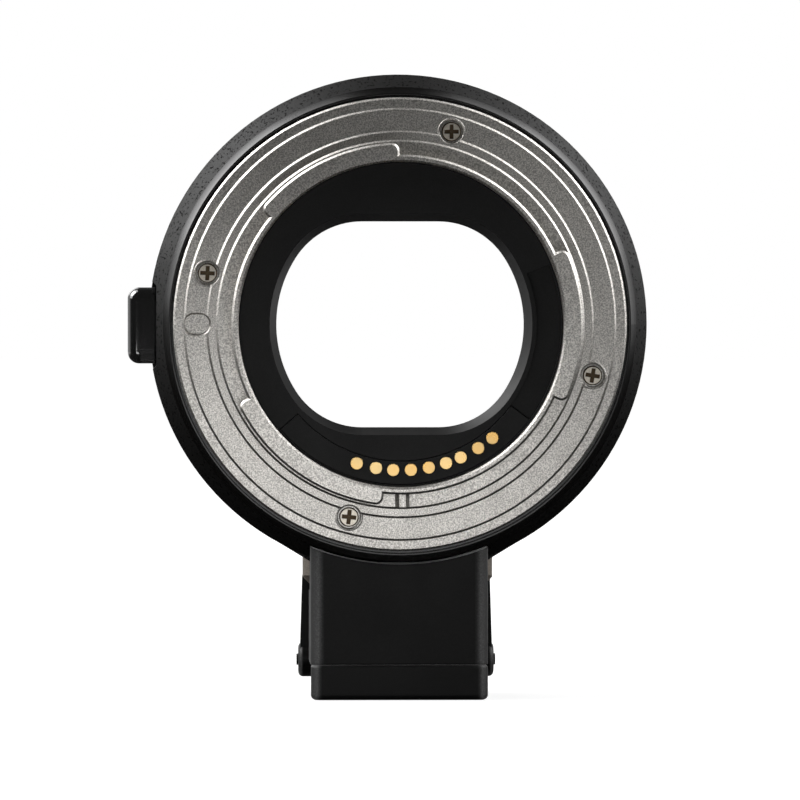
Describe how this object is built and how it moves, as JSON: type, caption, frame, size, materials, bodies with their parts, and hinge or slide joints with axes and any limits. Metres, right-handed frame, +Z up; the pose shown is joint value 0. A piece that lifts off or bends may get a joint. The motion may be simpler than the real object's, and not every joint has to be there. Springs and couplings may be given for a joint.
{
  "type": "lens mount adapter",
  "caption": "Ring-shaped lens mount adapter with a male bayonet for the camera, a female bayonet for the lens, a lens release lever and a removable tripod foot.",
  "frame": {"origin": "on the optical axis, in the plane where the adapter seats on a camera", "axes": "+Y along the optical axis from the camera side to the lens side, +X to the right as seen from the camera side, +Z up, with the tripod foot below"},
  "size_m": [0.073, 0.0325, 0.0874],
  "materials": {
    "black_shell": "black anodised, satin with fine specks",
    "plated_mount": "plated brass, bead blasted with bright turned edges",
    "nickel_screw": "nickel plated",
    "black_moulding": "matte black",
    "flex_film": "amber film",
    "board": "green solder mask",
    "chip": "dark moulding compound",
    "shield": "matte black paint with fine ribs",
    "spring_steel": "drawn steel",
    "red_mark": "paint",
    "white_mark": "paint",
    "gloss_lever": "polished black",
    "bright_steel": "ground",
    "shoe_metal": "bead blasted, warm grey",
    "black_foot": "matte black, hard anodised",
    "bush_brass": "machined",
    "gold_contact": "gold plated"
  },
  "bodies": {
    "adapter": {"housing": "black_shell", "camera_mount": "plated_mount", "camera_mount_screws": "nickel_screw", "camera_baffle": "black_moulding", "camera_contact_block": "black_moulding", "flex_cable": "flex_film", "circuit_board": "board", "controller_chip": "chip", "light_shield": "shield", "lens_contact_block": "black_moulding", "lens_contact_springs": "spring_steel", "inner_cover": "black_moulding", "contact_block_screws": "nickel_screw", "lens_mount": "plated_mount", "lens_mount_screws": "nickel_screw", "mount_leaf_springs": "spring_steel", "index_dot": "red_mark", "index_square": "white_mark", "lock_spring": "spring_steel", "tripod_shoe": "shoe_metal", "shoe_screws": "nickel_screw", "foot_body": "black_foot", "foot_sole": "black_foot", "sole_screws": "nickel_screw", "tripod_bush": "bush_brass", "latch_pin": "black_foot", "camera_contact_1": "gold_contact", "camera_contact_2": "gold_contact", "camera_contact_3": "gold_contact", "camera_contact_4": "gold_contact", "camera_contact_5": "gold_contact", "camera_contact_6": "gold_contact", "camera_contact_7": "gold_contact", "camera_contact_8": "gold_contact", "camera_contact_9": "gold_contact"},
    "lens_lock": {"release_lever": "gloss_lever", "lock_slide": "bright_steel", "lock_slide_screws": "nickel_screw", "lock_pin": "bright_steel"},
    "foot_latch": {"latch_flap": "black_foot"},
    "pin_1": {"lens_contact_pin_1": "gold_contact"},
    "pin_2": {"lens_contact_pin_2": "gold_contact"},
    "pin_3": {"lens_contact_pin_3": "gold_contact"},
    "pin_4": {"lens_contact_pin_4": "gold_contact"},
    "pin_5": {"lens_contact_pin_5": "gold_contact"},
    "pin_6": {"lens_contact_pin_6": "gold_contact"},
    "pin_7": {"lens_contact_pin_7": "gold_contact"},
    "pin_8": {"lens_contact_pin_8": "gold_contact"}
  },
  "joints": [
    {"name": "lens_release", "type": "slide", "parent": "adapter", "child": "lens_lock", "axis": [0, -1, 0], "range_m": [0, 0.0022], "stiffness_N_per_m": 800, "springref_m": -0.0015, "deforming": ["lock_spring"]},
    {"name": "latch_hinge", "type": "hinge", "parent": "adapter", "child": "foot_latch", "pos_m": [0, 0.0216, -0.04765], "axis": [-1, 0, 0], "range_deg": [0, 90]},
    {"name": "contact_press_1", "type": "slide", "parent": "adapter", "child": "pin_1", "axis": [0, -1, 0], "range_m": [0, 0.0012], "stiffness_N_per_m": 120, "springref_m": -0.002, "deforming": ["lens_contact_springs"]},
    {"name": "contact_press_2", "type": "slide", "parent": "adapter", "child": "pin_2", "axis": [0, -1, 0], "range_m": [0, 0.0012], "stiffness_N_per_m": 120, "springref_m": -0.002, "deforming": ["lens_contact_springs"]},
    {"name": "contact_press_3", "type": "slide", "parent": "adapter", "child": "pin_3", "axis": [0, -1, 0], "range_m": [0, 0.0012], "stiffness_N_per_m": 120, "springref_m": -0.002, "deforming": ["lens_contact_springs"]},
    {"name": "contact_press_4", "type": "slide", "parent": "adapter", "child": "pin_4", "axis": [0, -1, 0], "range_m": [0, 0.0012], "stiffness_N_per_m": 120, "springref_m": -0.002, "deforming": ["lens_contact_springs"]},
    {"name": "contact_press_5", "type": "slide", "parent": "adapter", "child": "pin_5", "axis": [0, -1, 0], "range_m": [0, 0.0012], "stiffness_N_per_m": 120, "springref_m": -0.002, "deforming": ["lens_contact_springs"]},
    {"name": "contact_press_6", "type": "slide", "parent": "adapter", "child": "pin_6", "axis": [0, -1, 0], "range_m": [0, 0.0012], "stiffness_N_per_m": 120, "springref_m": -0.002, "deforming": ["lens_contact_springs"]},
    {"name": "contact_press_7", "type": "slide", "parent": "adapter", "child": "pin_7", "axis": [0, -1, 0], "range_m": [0, 0.0012], "stiffness_N_per_m": 120, "springref_m": -0.002, "deforming": ["lens_contact_springs"]},
    {"name": "contact_press_8", "type": "slide", "parent": "adapter", "child": "pin_8", "axis": [0, -1, 0], "range_m": [0, 0.0012], "stiffness_N_per_m": 120, "springref_m": -0.002, "deforming": ["lens_contact_springs"]}
  ]
}
